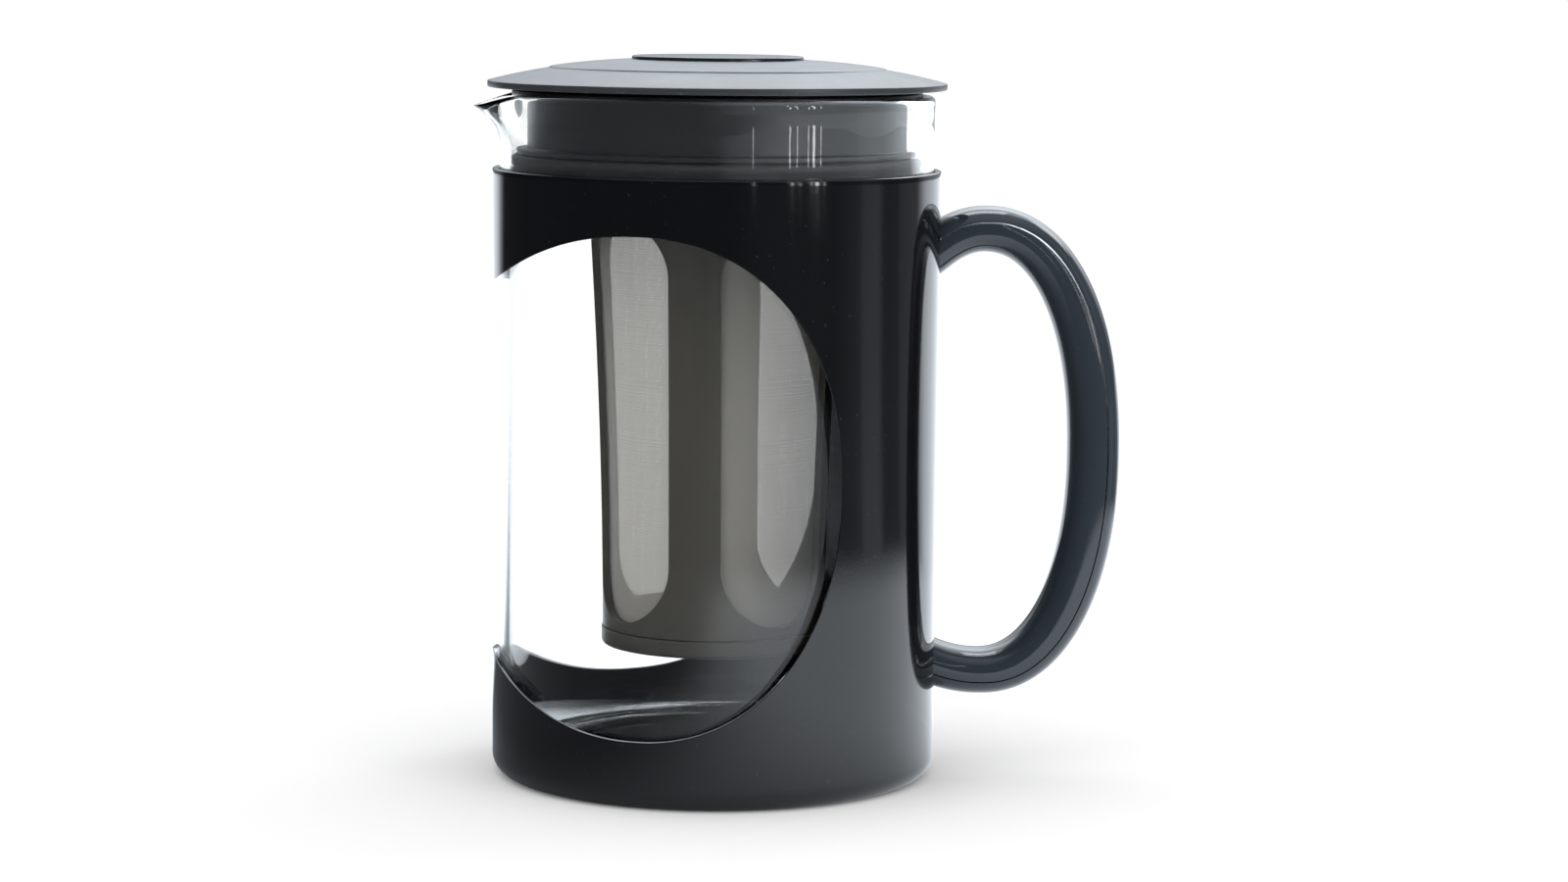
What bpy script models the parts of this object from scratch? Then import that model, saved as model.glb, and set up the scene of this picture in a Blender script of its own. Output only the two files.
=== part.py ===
"""Infusion carafe: a glass jug held in a moulded sleeve, with a lid that carries a mesh filter basket.

Metres, +Z up. The origin is on the jug's axis, on the plane that the sleeve stands on.
The handle points along +X and the jug's pouring lip along -X.
"""
import math

import bmesh
import bpy
from mathutils import Matrix, Vector

MM = 0.001
CLEARANCE = 0.3 * MM            # between pieces that touch each other
WELD = 0.001 * MM               # points closer than this are one point
ROUND_STEPS = 56                # facets round the large turned pieces
BASKET_STEPS = 40               # facets round the filter basket
SMOOTH_ANGLE = math.radians(35)

# Sleeve
SLEEVE_RADIUS = 60.0 * MM
SLEEVE_BASE_RADIUS = 59.8 * MM
SLEEVE_WALL = 1.7 * MM
SLEEVE_HEIGHT = 163.1 * MM
SLEEVE_FLOOR = 4.0 * MM
SLEEVE_BASE_ROUND = 5.2 * MM
SLEEVE_INNER_ROUND = 10.0 * MM
SLEEVE_RIM_ROUND = 0.4 * MM
WINDOW_CENTRE = (-22.7 * MM, 83.2 * MM)     # X and Z of the window cut, which runs along Y
WINDOW_HALF_WIDTH = 54.1 * MM
WINDOW_HALF_HEIGHT = 65.2 * MM
WINDOW_POWER = 2.18                         # 2 is an ellipse, more is squarer
WINDOW_POINTS = 48
CUT_LENGTH = 70.0 * MM                      # longer than any radius, so a cut goes right through

# Handle
HANDLE_CENTRE = (72.0 * MM, 87.0 * MM)      # X and Z of the bow's centre
HANDLE_REACH = 31.0 * MM
HANDLE_HALF_HEIGHT = 60.05 * MM
HANDLE_POWER = 2.2
HANDLE_ROOT_X = 54.0 * MM
HANDLE_TOP_DROOP = 31.5                     # 1/m: how fast the upper root bends down to the sleeve
HANDLE_BASE_RISE = 14.9                     # 1/m: the same for the lower root, upwards
HANDLE_ROOT_DEPTH = 11.4 * MM
HANDLE_GRIP_SWELL = 1.9 * MM
HANDLE_WIDTH = 18.0 * MM
HANDLE_SECTION_POWER = 2.3
HANDLE_COVER_DEPTH = 4.2 * MM
HANDLE_BOW_STEPS = 22
HANDLE_ROOT_STEPS = 4
HANDLE_SECTION_STEPS = 7
TANG_HALF_WIDTH = 2.9 * MM
TANG_HALF_HEIGHT = 2.4 * MM
TANG_TIP = 58.6 * MM
TANG_OFFSET = 2.2 * MM                      # from the centre line towards the finger gap
TANG_END = 66.0 * MM
TANG_SLOT_START = 56.6 * MM                  # clear inside the sleeve's wall

# Glass jug
GLASS_RADIUS = 58.0 * MM
GLASS_WALL = 2.6 * MM
GLASS_BASE = 4.6 * MM
GLASS_FLOOR = 9.2 * MM
GLASS_RIM = 183.2 * MM
GLASS_OUTER_ROUND = 12.0 * MM
GLASS_INNER_ROUND = 9.5 * MM
GLASS_PUNT = 1.2 * MM
GLASS_PUNT_RADIUS = 30.0 * MM
LIP_REACH = 8.0 * MM
LIP_DIP = 3.6 * MM
LIP_START = 168.0 * MM
LIP_MIDDLE = 176.0 * MM
LIP_HALF_ANGLE = math.radians(24)

# Lid
LID_RADIUS = 61.3 * MM
LID_RIM_BOTTOM = 184.6 * MM
LID_RIM_TOP = 186.3 * MM
LID_DOME_RISE = 6.25 * MM
LID_DOME_POWER = 2.6
LID_SHELL = 2.0 * MM
LID_EDGE_EASE = 0.4 * MM
LID_STEPS = 5                               # between the disc's well and the rim
SKIRT_BOTTOM = 179.3 * MM
DISC_RADIUS = 22.9 * MM
DISC_WELL_FLOOR = 190.4 * MM
DISC_EDGE = 192.5 * MM
DISC_TOP = 193.4 * MM
DISC_EASE = 0.7 * MM
DISC_CROWN = 0.75                           # share of the disc's rise reached at half its radius
PLUG_BORE = 47.6 * MM
PLUG_FLANGE = 54.8 * MM
PLUG_FLANGE_BOTTOM = 182.3 * MM
PLUG_FLANGE_TOP = 183.8 * MM
PLUG_NECK = 50.6 * MM
PLUG_FOOT = 52.4 * MM
PLUG_LIP = 53.4 * MM
PLUG_FOOT_TOP = 168.6 * MM
PLUG_BOTTOM = 156.9 * MM
PLUG_PLATE_TOP = 160.4 * MM
SOCKET_RADIUS = 36.9 * MM
SOCKET_WALL = 2.4 * MM
SOCKET_BOTTOM = 154.6 * MM
SEAL_RADIUS = 54.95 * MM
SEAL_BOTTOM = 158.4 * MM
SEAL_TOP = 166.9 * MM
SEAL_WAIST_DEPTH = 0.9 * MM
SEAL_LIP_HEIGHT = 2.2 * MM
SEAL_EASE = 0.6 * MM
NOTCH_HALF_ANGLE = math.radians(16)
NOTCH_DEPTH = 50.8 * MM
NOTCH_REACH = 58.0 * MM
NOTCH_BOTTOM = 153.9 * MM
NOTCH_TOP = 170.6 * MM
NOTCH_STEPS = 6

# Filter basket
BASKET_FOOT_RADIUS = 30.1 * MM
BASKET_FLARE = 4.1 * MM
BASKET_FLARE_POWER = 1.8
BASKET_BOTTOM = 40.2 * MM
BASKET_TOP = 160.1 * MM
BASKET_SHOULDER = 153.0 * MM
BASKET_COLLAR_BOTTOM = 155.2 * MM
BASKET_COLLAR = 36.5 * MM
BASKET_RINGS = 5                            # between the foot and the shoulder
BASKET_WALL = 2.0 * MM
BASKET_RIB_ANGLE = math.radians(168.3)      # where one rib stands; the others follow at right angles
RIB_COUNT = 4
SLOT_HALF_WIDTH = 16.3 * MM
SLOT_BOTTOM = 43.0 * MM
SLOT_TOP = 152.0 * MM
MESH_THICKNESS = 0.5 * MM
MESH_BOTTOM = 41.0 * MM
MESH_TOP = 157.0 * MM
CAP_RADIUS = 30.4 * MM
CAP_BOTTOM = 35.3 * MM
CAP_TOP = 39.9 * MM
CAP_FLOOR = 1.9 * MM
CAP_SPIGOT = 26.9 * MM
CAP_SPIGOT_WALL = 1.6 * MM
CAP_SPIGOT_TOP = 45.0 * MM
CAP_TOP_EASE = 0.4 * MM
CAP_BOTTOM_EASE = 1.0 * MM


def clear_scene():
    """Start from an empty scene."""
    for thing in list(bpy.data.objects):
        bpy.data.objects.remove(thing, do_unlink=True)


def make_material(name, colour, roughness, metallic=0.0, alpha=1.0):
    """One Principled material with a colour, a roughness and a metallic value."""
    material = bpy.data.materials.new(name)
    material.use_nodes = True
    shader = material.node_tree.nodes["Principled BSDF"]
    shader.inputs["Base Color"].default_value = (*colour, 1.0)
    shader.inputs["Roughness"].default_value = roughness
    shader.inputs["Metallic"].default_value = metallic
    shader.inputs["Alpha"].default_value = alpha
    material.diffuse_color = (*colour, alpha)
    return material


def make_object(name, shape, material=None):
    """Turn a bmesh into a named object with its faces pointing out."""
    bmesh.ops.remove_doubles(shape, verts=shape.verts, dist=WELD)
    bmesh.ops.recalc_face_normals(shape, faces=shape.faces)
    mesh = bpy.data.meshes.new(name)
    shape.to_mesh(mesh)
    shape.free()
    thing = bpy.data.objects.new(name, mesh)
    bpy.context.scene.collection.objects.link(thing)
    mesh.shade_smooth()
    mesh.set_sharp_from_angle(angle=SMOOTH_ANGLE)
    if material:
        mesh.materials.append(material)
    return thing


def arc(centre, radius, start, end, steps):
    """Points (radius, height) on an arc, with its angles in degrees."""
    points = []
    for step in range(steps + 1):
        angle = math.radians(start + (end - start) * step / steps)
        points.append((centre[0] + radius * math.cos(angle), centre[1] + radius * math.sin(angle)))
    return points


def superellipse(angle, half_width, half_height, power):
    """The point of a squared ellipse at an angle."""
    across = math.copysign(abs(math.cos(angle)) ** (2 / power), math.cos(angle))
    up = math.copysign(abs(math.sin(angle)) ** (2 / power), math.sin(angle))
    return half_width * across, half_height * up


def turned(name, profile, material, steps=ROUND_STEPS, ring=False):
    """Spin (radius, height) points about Z. A ring's profile closes on itself."""
    shape = bmesh.new()
    points = [shape.verts.new((radius, 0.0, height)) for radius, height in profile]
    edges = [shape.edges.new(pair) for pair in zip(points, points[1:])]
    if ring:
        edges.append(shape.edges.new((points[-1], points[0])))
    bmesh.ops.spin(shape, geom=points + edges, cent=(0, 0, 0), axis=(0, 0, 1),
                   angle=2 * math.pi, steps=steps, use_merge=True)
    return make_object(name, shape, material)


def lofted(name, rings, material=None):
    """Skin a row of rings with equal numbers of points, and close both ends."""
    shape = bmesh.new()
    loops = [[shape.verts.new(point) for point in ring] for ring in rings]
    for loop, following in zip(loops, loops[1:]):
        for index in range(len(loop)):
            after = (index + 1) % len(loop)
            shape.faces.new((loop[index], loop[after], following[after], following[index]))
    shape.faces.new(loops[0])
    shape.faces.new(loops[-1])
    return make_object(name, shape, material)


def as_cutter(thing):
    """Mark an object as a tool that isn't part of the product."""
    thing.hide_render = True
    thing.display_type = "WIRE"
    return thing


def combine(target, tool, operation="DIFFERENCE"):
    """Cut a tool out of a piece, or join it on."""
    modifier = target.modifiers.new(tool.name, "BOOLEAN")
    modifier.operation = operation
    modifier.solver = "EXACT"
    modifier.object = tool


def block(name, low, high):
    """A box between two corners, used as a tool."""
    shape = bmesh.new()
    bmesh.ops.create_cube(shape, size=1.0)
    size = [top - bottom for bottom, top in zip(low, high)]
    centre = [(top + bottom) / 2 for bottom, top in zip(low, high)]
    place = Matrix.Translation(centre) @ Matrix.Diagonal((*size, 1.0))
    bmesh.ops.transform(shape, matrix=place, verts=shape.verts)
    return as_cutter(make_object(name, shape))


def root_height(x, upper):
    """Height of the handle's centre line where it nears the sleeve."""
    inset = HANDLE_CENTRE[0] - x
    if upper:
        return HANDLE_CENTRE[1] + HANDLE_HALF_HEIGHT - HANDLE_TOP_DROOP * inset ** 2
    return HANDLE_CENTRE[1] - HANDLE_HALF_HEIGHT + HANDLE_BASE_RISE * inset ** 2


def tang_height(upper):
    """Height of a tang, which joins the grip to the sleeve on the finger gap's side."""
    return root_height(SLEEVE_RADIUS, upper) + (-TANG_OFFSET if upper else TANG_OFFSET)


def make_sleeve(material):
    """The moulded cup that holds the glass, with one window cut straight through along Y."""
    inner = SLEEVE_RADIUS - SLEEVE_WALL
    profile = [(0.0, SLEEVE_FLOOR)]
    corner = (inner - SLEEVE_INNER_ROUND, SLEEVE_FLOOR + SLEEVE_INNER_ROUND)
    profile += arc(corner, SLEEVE_INNER_ROUND, -90, 0, 4)
    profile.append((inner, SLEEVE_HEIGHT - SLEEVE_RIM_ROUND))
    profile.append((inner + SLEEVE_RIM_ROUND, SLEEVE_HEIGHT))
    profile.append((SLEEVE_RADIUS - SLEEVE_RIM_ROUND, SLEEVE_HEIGHT))
    profile.append((SLEEVE_RADIUS, SLEEVE_HEIGHT - SLEEVE_RIM_ROUND))
    corner = (SLEEVE_BASE_RADIUS - SLEEVE_BASE_ROUND, SLEEVE_BASE_ROUND)
    profile += arc(corner, SLEEVE_BASE_ROUND, 0, -90, 4)
    profile.append((0.0, 0.0))
    sleeve = turned("sleeve", profile, material)
    rings = []
    for side in (-CUT_LENGTH, CUT_LENGTH):
        ring = []
        for step in range(WINDOW_POINTS):
            angle = 2 * math.pi * step / WINDOW_POINTS
            x, z = superellipse(angle, WINDOW_HALF_WIDTH, WINDOW_HALF_HEIGHT, WINDOW_POWER)
            ring.append((WINDOW_CENTRE[0] + x, side, WINDOW_CENTRE[1] + z))
        rings.append(ring)
    combine(sleeve, as_cutter(lofted("window_cut", rings)))
    for name, upper in (("upper_slot_cut", True), ("lower_slot_cut", False)):
        height = tang_height(upper)
        across = TANG_HALF_WIDTH + CLEARANCE
        tall = TANG_HALF_HEIGHT + CLEARANCE
        slot = block(name, (TANG_SLOT_START, -across, height - tall), (TANG_END, across, height + tall))
        combine(sleeve, slot)
    return sleeve


def handle_path():
    """Stations along the handle: centre, outward direction and depth, from the upper root to the lower."""
    places = []
    for step in range(HANDLE_ROOT_STEPS):
        x = HANDLE_ROOT_X + (HANDLE_CENTRE[0] - HANDLE_ROOT_X) * step / HANDLE_ROOT_STEPS
        places.append((Vector((x, 0.0, root_height(x, True))), HANDLE_ROOT_DEPTH))
    for step in range(HANDLE_BOW_STEPS + 1):
        angle = math.pi * (0.5 - step / HANDLE_BOW_STEPS)
        x, z = superellipse(angle, HANDLE_REACH, HANDLE_HALF_HEIGHT, HANDLE_POWER)
        depth = HANDLE_ROOT_DEPTH + HANDLE_GRIP_SWELL * math.cos(angle)
        places.append((Vector((HANDLE_CENTRE[0] + x, 0.0, HANDLE_CENTRE[1] + z)), depth))
    for step in range(HANDLE_ROOT_STEPS):
        x = HANDLE_CENTRE[0] - (HANDLE_CENTRE[0] - HANDLE_ROOT_X) * (step + 1) / HANDLE_ROOT_STEPS
        places.append((Vector((x, 0.0, root_height(x, False))), HANDLE_ROOT_DEPTH))
    stations = []
    for index, (centre, depth) in enumerate(places):
        before = places[max(index - 1, 0)][0]
        after = places[min(index + 1, len(places) - 1)][0]
        along = (after - before).normalized()
        stations.append((centre, Vector((-along.z, 0.0, along.x)), depth))
    return stations


def handle_ring(centre, outward, depth, cover):
    """One section of the handle: the strip on its outer side, or the rest of it."""
    split = depth / 2 - HANDLE_COVER_DEPTH + (CLEARANCE if cover else 0.0)
    corner = math.acos((2 * split / depth) ** (HANDLE_SECTION_POWER / 2))
    start, end = (-corner, corner) if cover else (corner, 2 * math.pi - corner)
    steps = HANDLE_SECTION_STEPS if cover else 2 * HANDLE_SECTION_STEPS
    ring = []
    for step in range(steps + 1):
        angle = start + (end - start) * step / steps
        out, side = superellipse(angle, depth / 2, HANDLE_WIDTH / 2, HANDLE_SECTION_POWER)
        ring.append(centre + outward * out + Vector((0.0, side, 0.0)))
    return ring


def make_handle(grip_material, cover_material):
    """The bow: an inner grip with a tang at each end, and the strip that closes its outer side."""
    reach = SLEEVE_RADIUS + CLEARANCE
    above = SLEEVE_HEIGHT + CUT_LENGTH
    barrel_profile = [(0.0, above), (reach, above), (reach, -CUT_LENGTH), (0.0, -CUT_LENGTH)]
    barrel = as_cutter(turned("barrel_cut", barrel_profile, None))
    pieces = []
    for name, cover, material in (("handle_grip", False, grip_material), ("handle_cover", True, cover_material)):
        rings = [handle_ring(centre, outward, depth, cover) for centre, outward, depth in handle_path()]
        piece = lofted(name, rings, material)
        combine(piece, barrel)
        pieces.append(piece)
    for name, upper in (("upper_tang", True), ("lower_tang", False)):
        height = tang_height(upper)
        tang = block(name, (TANG_TIP, -TANG_HALF_WIDTH, height - TANG_HALF_HEIGHT),
                     (TANG_END, TANG_HALF_WIDTH, height + TANG_HALF_HEIGHT))
        combine(pieces[0], tang, "UNION")
    return pieces


def pull_lip(mesh):
    """Draw the glass rim out and down a little at -X, where it pours."""
    for point in mesh.vertices:
        turn = abs(math.atan2(point.co.y, -point.co.x)) / LIP_HALF_ANGLE
        rise = (point.co.z - LIP_START) / (GLASS_RIM - LIP_START)
        if turn < 1 and rise > 0:
            spread = (0.5 + 0.5 * math.cos(math.pi * turn)) * rise ** 2
            out = Vector((point.co.x, point.co.y, 0.0)).normalized()
            point.co += out * LIP_REACH * spread
            point.co.z -= LIP_DIP * spread


def make_glass(material):
    """The glass jug: a straight wall, a thick base with rounded corners and a lip pulled at the rim."""
    inner = GLASS_RADIUS - GLASS_WALL
    profile = [(0.0, GLASS_BASE + GLASS_PUNT), (GLASS_PUNT_RADIUS, GLASS_BASE + GLASS_PUNT)]
    corner = (GLASS_RADIUS - GLASS_OUTER_ROUND, GLASS_BASE + GLASS_OUTER_ROUND)
    profile += arc(corner, GLASS_OUTER_ROUND, -90, 0, 4)
    for height in (LIP_START, LIP_MIDDLE):
        profile.append((GLASS_RADIUS, height))
    profile += arc((GLASS_RADIUS - GLASS_WALL / 2, GLASS_RIM - GLASS_WALL / 2), GLASS_WALL / 2, 0, 180, 3)
    for height in (LIP_MIDDLE, LIP_START):
        profile.append((inner, height))
    corner = (inner - GLASS_INNER_ROUND, GLASS_FLOOR + GLASS_INNER_ROUND)
    profile += arc(corner, GLASS_INNER_ROUND, 0, -90, 4)
    profile.append((0.0, GLASS_FLOOR))
    glass = turned("glass_carafe", profile, material)
    pull_lip(glass.data)
    return glass


def dome_height(radius):
    """Height of the lid's upper surface at a radius."""
    return LID_RIM_TOP + LID_DOME_RISE * (1 - (radius / LID_RADIUS) ** LID_DOME_POWER)


def make_lid_dome(material):
    """The lid's top shell, with a well for the disc and a skirt that locates in the plug."""
    well = DISC_RADIUS + CLEARANCE
    skirt = PLUG_BORE - CLEARANCE
    profile = [(0.0, DISC_WELL_FLOOR), (well, DISC_WELL_FLOOR)]
    edge = LID_RADIUS - LID_EDGE_EASE
    for step in range(LID_STEPS + 1):
        radius = well + (edge - well) * step / LID_STEPS
        profile.append((radius, dome_height(radius)))
    profile += [(LID_RADIUS, LID_RIM_TOP - LID_EDGE_EASE), (LID_RADIUS, LID_RIM_BOTTOM + LID_EDGE_EASE)]
    profile += [(edge, LID_RIM_BOTTOM), (skirt, LID_RIM_BOTTOM), (skirt, SKIRT_BOTTOM)]
    profile += [(skirt - LID_SHELL, SKIRT_BOTTOM), (skirt - LID_SHELL, dome_height(skirt) - LID_SHELL)]
    profile += [(well + LID_SHELL, DISC_WELL_FLOOR - LID_SHELL), (0.0, DISC_WELL_FLOOR - LID_SHELL)]
    return turned("lid_dome", profile, material)


def make_lid_disc(material):
    """The low round disc set in the middle of the lid."""
    bottom = DISC_WELL_FLOOR + CLEARANCE
    crown = DISC_EDGE + DISC_CROWN * (DISC_TOP - DISC_EDGE)
    profile = [(0.0, DISC_TOP), (DISC_RADIUS / 2, crown), (DISC_RADIUS - DISC_EASE, DISC_EDGE)]
    profile += [(DISC_RADIUS, DISC_EDGE - DISC_EASE), (DISC_RADIUS, bottom), (0.0, bottom)]
    return turned("lid_disc", profile, material, BASKET_STEPS)


def notch_cutter():
    """The wedge that opens the plug's foot and its seal for pouring, on the +X side when closed."""
    rings = []
    corners = ((NOTCH_DEPTH, NOTCH_BOTTOM), (NOTCH_REACH, NOTCH_BOTTOM))
    corners += ((NOTCH_REACH, NOTCH_TOP), (NOTCH_DEPTH, NOTCH_TOP))
    for step in range(NOTCH_STEPS + 1):
        angle = NOTCH_HALF_ANGLE * (2 * step / NOTCH_STEPS - 1)
        rings.append([(radius * math.cos(angle), radius * math.sin(angle), z) for radius, z in corners])
    return as_cutter(lofted("pour_notch_cut", rings))


def make_lid_plug(material, notch):
    """The spool under the lid: a flange, a neck, a foot that carries the seal, and the basket's socket."""
    socket_outer = SOCKET_RADIUS + SOCKET_WALL
    top = LID_RIM_BOTTOM - CLEARANCE
    profile = [(PLUG_BORE, top), (PLUG_NECK, top), (PLUG_NECK, PLUG_FLANGE_TOP), (PLUG_FLANGE, PLUG_FLANGE_TOP)]
    profile += [(PLUG_FLANGE, PLUG_FLANGE_BOTTOM), (PLUG_NECK, PLUG_FLANGE_BOTTOM)]
    profile += [(PLUG_NECK, PLUG_FOOT_TOP), (PLUG_LIP, PLUG_FOOT_TOP), (PLUG_LIP, SEAL_TOP + CLEARANCE)]
    profile += [(PLUG_FOOT, SEAL_TOP + CLEARANCE), (PLUG_FOOT, SEAL_BOTTOM - CLEARANCE)]
    profile += [(PLUG_LIP, SEAL_BOTTOM - CLEARANCE), (PLUG_LIP, PLUG_BOTTOM), (socket_outer, PLUG_BOTTOM)]
    profile += [(socket_outer, SOCKET_BOTTOM), (SOCKET_RADIUS, SOCKET_BOTTOM), (SOCKET_RADIUS, PLUG_PLATE_TOP)]
    profile += [(PLUG_BORE, PLUG_PLATE_TOP)]
    plug = turned("lid_plug", profile, material, ring=True)
    combine(plug, notch)
    return plug


def make_lid_seal(material, notch):
    """The silicone ring round the plug's foot, with two lips and the pouring gap."""
    inner = PLUG_FOOT + CLEARANCE
    waist = SEAL_RADIUS - SEAL_WAIST_DEPTH
    upper, lower = SEAL_TOP - SEAL_LIP_HEIGHT, SEAL_BOTTOM + SEAL_LIP_HEIGHT
    profile = [(inner, SEAL_TOP), (waist, SEAL_TOP), (SEAL_RADIUS, SEAL_TOP - SEAL_EASE)]
    profile += [(SEAL_RADIUS, upper), (waist, upper - SEAL_EASE)]
    profile += [(waist, lower + SEAL_EASE), (SEAL_RADIUS, lower)]
    profile += [(SEAL_RADIUS, SEAL_BOTTOM + SEAL_EASE), (waist, SEAL_BOTTOM), (inner, SEAL_BOTTOM)]
    seal = turned("lid_seal", profile, material, ring=True)
    combine(seal, notch)
    return seal


def basket_radius(height):
    """Outer radius of the filter basket, which flares gently towards its top."""
    rise = max(height - CAP_TOP, 0.0) / (BASKET_SHOULDER - CAP_TOP)
    return BASKET_FOOT_RADIUS + BASKET_FLARE * rise ** BASKET_FLARE_POWER


def basket_heights(low, high):
    """Evenly spaced heights along the basket."""
    return [low + (high - low) * step / BASKET_RINGS for step in range(BASKET_RINGS + 1)]


def make_filter_frame(material):
    """The basket's moulded frame: a collar, four ribs and a foot ring, left by four round-ended slots."""
    outer = [(basket_radius(height), height) for height in basket_heights(BASKET_BOTTOM, BASKET_SHOULDER)]
    inner = [(radius - BASKET_WALL, height) for radius, height in reversed(outer)]
    collar_inner = BASKET_COLLAR - BASKET_WALL
    profile = outer + [(BASKET_COLLAR, BASKET_COLLAR_BOTTOM), (BASKET_COLLAR, BASKET_TOP)]
    profile += [(collar_inner, BASKET_TOP), (collar_inner, BASKET_COLLAR_BOTTOM)] + inner
    frame = turned("filter_frame", profile, material, BASKET_STEPS, ring=True)
    ends = arc((0.0, SLOT_TOP - SLOT_HALF_WIDTH), SLOT_HALF_WIDTH, 0, 180, 8)
    ends += arc((0.0, SLOT_BOTTOM + SLOT_HALF_WIDTH), SLOT_HALF_WIDTH, 180, 360, 8)
    for pair in range(RIB_COUNT // 2):
        turn = BASKET_RIB_ANGLE + math.radians(45 + 90 * pair)
        away = Vector((math.cos(turn), math.sin(turn), 0.0))
        side = Vector((-away.y, away.x, 0.0))
        rings = [[away * reach + side * x + Vector((0.0, 0.0, z)) for x, z in ends]
                 for reach in (-CUT_LENGTH, CUT_LENGTH)]
        combine(frame, as_cutter(lofted("slot_cut_%d" % (pair + 1), rings)))
    return frame


def make_filter_mesh(material):
    """The fine mesh sleeve just inside the ribs, as a thin closed tube."""
    def wall(height):
        return basket_radius(min(height, BASKET_SHOULDER)) - BASKET_WALL - CLEARANCE
    heights = basket_heights(MESH_BOTTOM, BASKET_SHOULDER) + [MESH_TOP]
    outer = [(wall(height), height) for height in heights]
    inner = [(radius - MESH_THICKNESS, height) for radius, height in reversed(outer)]
    return turned("filter_mesh", outer + inner, material, BASKET_STEPS, ring=True)


def make_filter_end_cap(material):
    """The removable cap that closes the basket's foot, with a spigot that turns into it."""
    floor = CAP_BOTTOM + CAP_FLOOR
    bore = CAP_SPIGOT - CAP_SPIGOT_WALL
    profile = [(0.0, floor), (bore, floor), (bore, CAP_SPIGOT_TOP), (CAP_SPIGOT, CAP_SPIGOT_TOP)]
    profile += [(CAP_SPIGOT, CAP_TOP), (CAP_RADIUS - CAP_TOP_EASE, CAP_TOP), (CAP_RADIUS, CAP_TOP - CAP_TOP_EASE)]
    profile += [(CAP_RADIUS, CAP_BOTTOM + CAP_BOTTOM_EASE), (CAP_RADIUS - CAP_BOTTOM_EASE, CAP_BOTTOM)]
    profile.append((0.0, CAP_BOTTOM))
    return turned("filter_end_cap", profile, material, BASKET_STEPS)


def hang_on(name, pieces, parent=None):
    """Parent pieces to an empty on the jug's axis, which is also every joint's axis."""
    empty = bpy.data.objects.new(name, None)
    bpy.context.scene.collection.objects.link(empty)
    empty.parent = parent
    for piece in pieces:
        piece.parent = empty
    return empty


def build():
    """Make every piece and hang it on the body that it moves with."""
    clear_scene()
    sleeve_black = make_material("sleeve_black", (0.012, 0.014, 0.018), 0.14)
    handle_navy = make_material("handle_navy", (0.018, 0.024, 0.032), 0.12)
    cover_navy = make_material("cover_navy", (0.018, 0.024, 0.032), 0.13)
    clear_glass = make_material("clear_glass", (0.93, 0.96, 0.96), 0.02, alpha=0.35)
    lid_grey = make_material("lid_grey", (0.045, 0.050, 0.056), 0.38)
    disc_grey = make_material("disc_grey", (0.030, 0.034, 0.040), 0.32)
    plug_black = make_material("plug_black", (0.015, 0.016, 0.018), 0.25)
    seal_silicone = make_material("seal_silicone", (0.030, 0.031, 0.034), 0.60)
    basket_black = make_material("basket_black", (0.016, 0.017, 0.018), 0.30)
    mesh_nylon = make_material("mesh_nylon", (0.40, 0.38, 0.35), 0.65)
    cap_black = make_material("cap_black", (0.016, 0.017, 0.018), 0.32)

    notch = notch_cutter()
    holder = hang_on("holder", [make_sleeve(sleeve_black), *make_handle(handle_navy, cover_navy)])
    carafe = hang_on("carafe", [make_glass(clear_glass)], holder)
    basket = hang_on("basket", [make_filter_frame(basket_black), make_filter_mesh(mesh_nylon)], carafe)
    hang_on("lid", [make_lid_dome(lid_grey), make_lid_disc(disc_grey),
                    make_lid_plug(plug_black, notch), make_lid_seal(seal_silicone, notch)], basket)
    hang_on("end_cap", [make_filter_end_cap(cap_black)], basket)


build()
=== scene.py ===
import math

import bmesh
import bpy
from mathutils import Matrix, Vector


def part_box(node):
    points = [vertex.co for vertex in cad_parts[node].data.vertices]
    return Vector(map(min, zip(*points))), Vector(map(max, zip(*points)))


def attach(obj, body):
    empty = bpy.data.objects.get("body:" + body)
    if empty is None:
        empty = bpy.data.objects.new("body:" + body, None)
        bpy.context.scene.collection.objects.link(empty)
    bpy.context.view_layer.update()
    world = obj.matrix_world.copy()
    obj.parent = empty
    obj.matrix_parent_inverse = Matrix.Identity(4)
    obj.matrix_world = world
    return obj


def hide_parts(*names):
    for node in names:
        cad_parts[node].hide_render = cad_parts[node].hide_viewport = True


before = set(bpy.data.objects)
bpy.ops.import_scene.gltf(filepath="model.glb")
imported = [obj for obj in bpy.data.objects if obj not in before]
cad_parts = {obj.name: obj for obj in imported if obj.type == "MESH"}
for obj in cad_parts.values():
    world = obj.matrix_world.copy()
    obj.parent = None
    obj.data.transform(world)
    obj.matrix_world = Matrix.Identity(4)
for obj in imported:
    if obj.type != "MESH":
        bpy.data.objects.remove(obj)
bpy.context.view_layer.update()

MM = 0.001


# ---- Camera ----
# A long lens a metre away, seven degrees above the table and turned a little towards the lip side.
# It aims at the handle's side of the jug and leans by half a degree.
CAMERA_AZIMUTH = math.radians(-2.695)
CAMERA_PITCH = math.radians(6.904)
CAMERA_ROLL = math.radians(0.546)
CAMERA_DISTANCE = 1.0712
AIM_HEIGHT = 89.86 * MM
AIM_SIDE = 18.6 * MM
right = Vector((math.cos(CAMERA_AZIMUTH), math.sin(CAMERA_AZIMUTH), 0.0))
back = Vector((math.sin(CAMERA_AZIMUTH) * math.cos(CAMERA_PITCH),
               -math.cos(CAMERA_AZIMUTH) * math.cos(CAMERA_PITCH), math.sin(CAMERA_PITCH)))
up = back.cross(right)
aim = right * AIM_SIDE + Vector((0.0, 0.0, AIM_HEIGHT))
camera_data = bpy.data.cameras.new("studio_camera")
camera_data.lens = 91.2
camera_data.sensor_width = 36.0
camera_data.clip_start = 0.05
camera = bpy.data.objects.new("studio_camera", camera_data)
bpy.context.scene.collection.objects.link(camera)
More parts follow.
